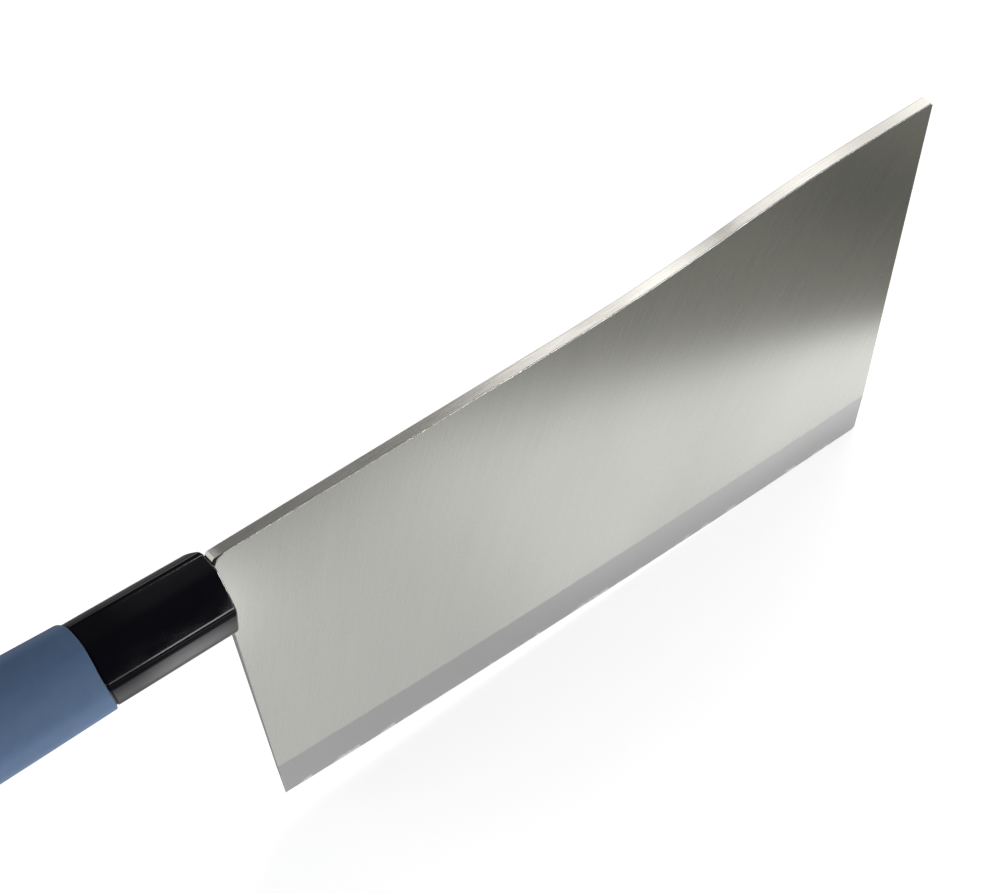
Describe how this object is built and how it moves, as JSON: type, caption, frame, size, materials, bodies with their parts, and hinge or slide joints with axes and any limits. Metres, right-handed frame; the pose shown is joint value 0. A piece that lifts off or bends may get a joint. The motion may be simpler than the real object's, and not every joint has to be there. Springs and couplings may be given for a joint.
{
  "type": "chinese cleaver",
  "caption": "Tall thin rectangular slicing cleaver with a gently rising spine, a bellied edge, a gloss black bolster and a matte blue oval handle.",
  "frame": {"origin": "middle of the whole part's box, at the lowest point of the cutting edge", "axes": "+X from the handle to the blade's tip, +Y across the blade, +Z from the cutting edge up to the spine"},
  "size_m": [0.318, 0.021, 0.0972],
  "materials": {
    "blade_steel": "fine ground satin",
    "bolster_black": "polished black",
    "grip_blue": "matte slate blue",
    "adhesive": "cured resin"
  },
  "bodies": {
    "root": {"blade": "blade_steel", "bolster": "bolster_black", "grip": "grip_blue", "tang_adhesive": "adhesive"}
  },
  "joints": []
}
